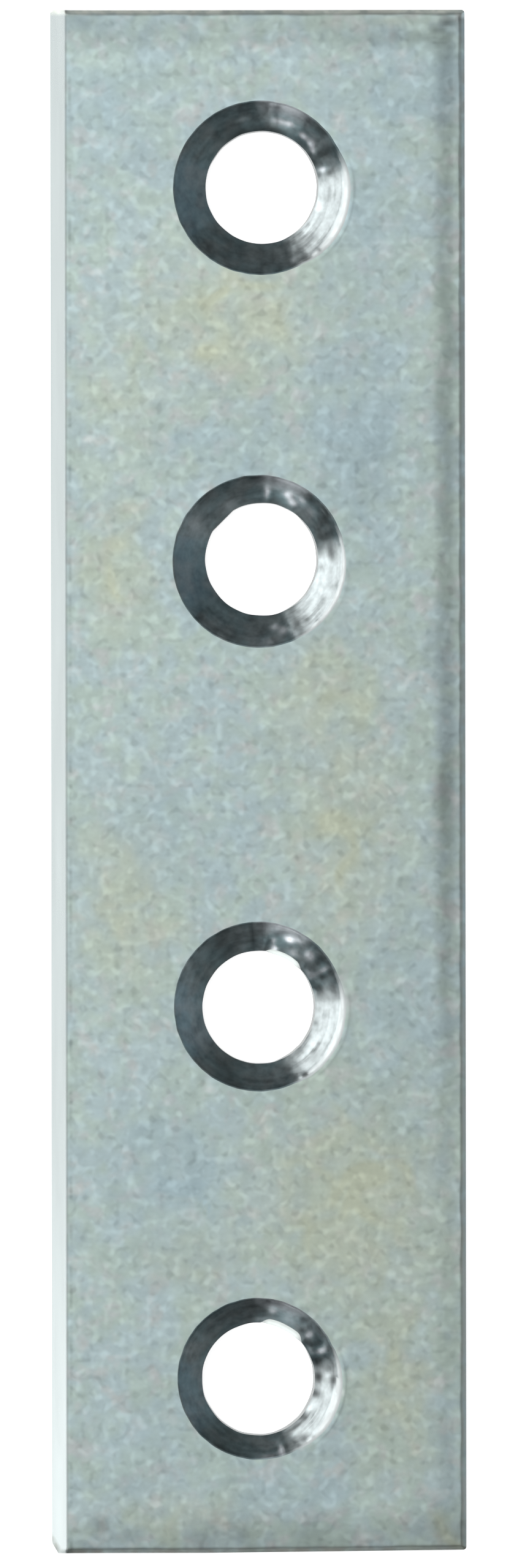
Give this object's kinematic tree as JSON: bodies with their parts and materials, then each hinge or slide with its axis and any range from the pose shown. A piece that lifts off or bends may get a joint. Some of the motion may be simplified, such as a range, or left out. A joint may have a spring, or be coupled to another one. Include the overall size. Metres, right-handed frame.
{
  "type": "mending plate",
  "caption": "Flat steel mending plate with countersunk screw holes in a row, for joining two boards end to end.",
  "frame": {"origin": "middle of the flat back face, on the surface that the plate lies on", "axes": "+X across the plate towards the blanked long edge, +Y along the plate towards the deeper countersinks, +Z out of the countersunk face"},
  "size_m": [0.0162, 0.06, 0.002],
  "materials": {
    "zinc_steel": "blue-grey zinc plating with a faint cloudy passivation, fine speckle and brighter cut edges"
  },
  "bodies": {
    "root": {"plate": "zinc_steel"}
  },
  "joints": []
}
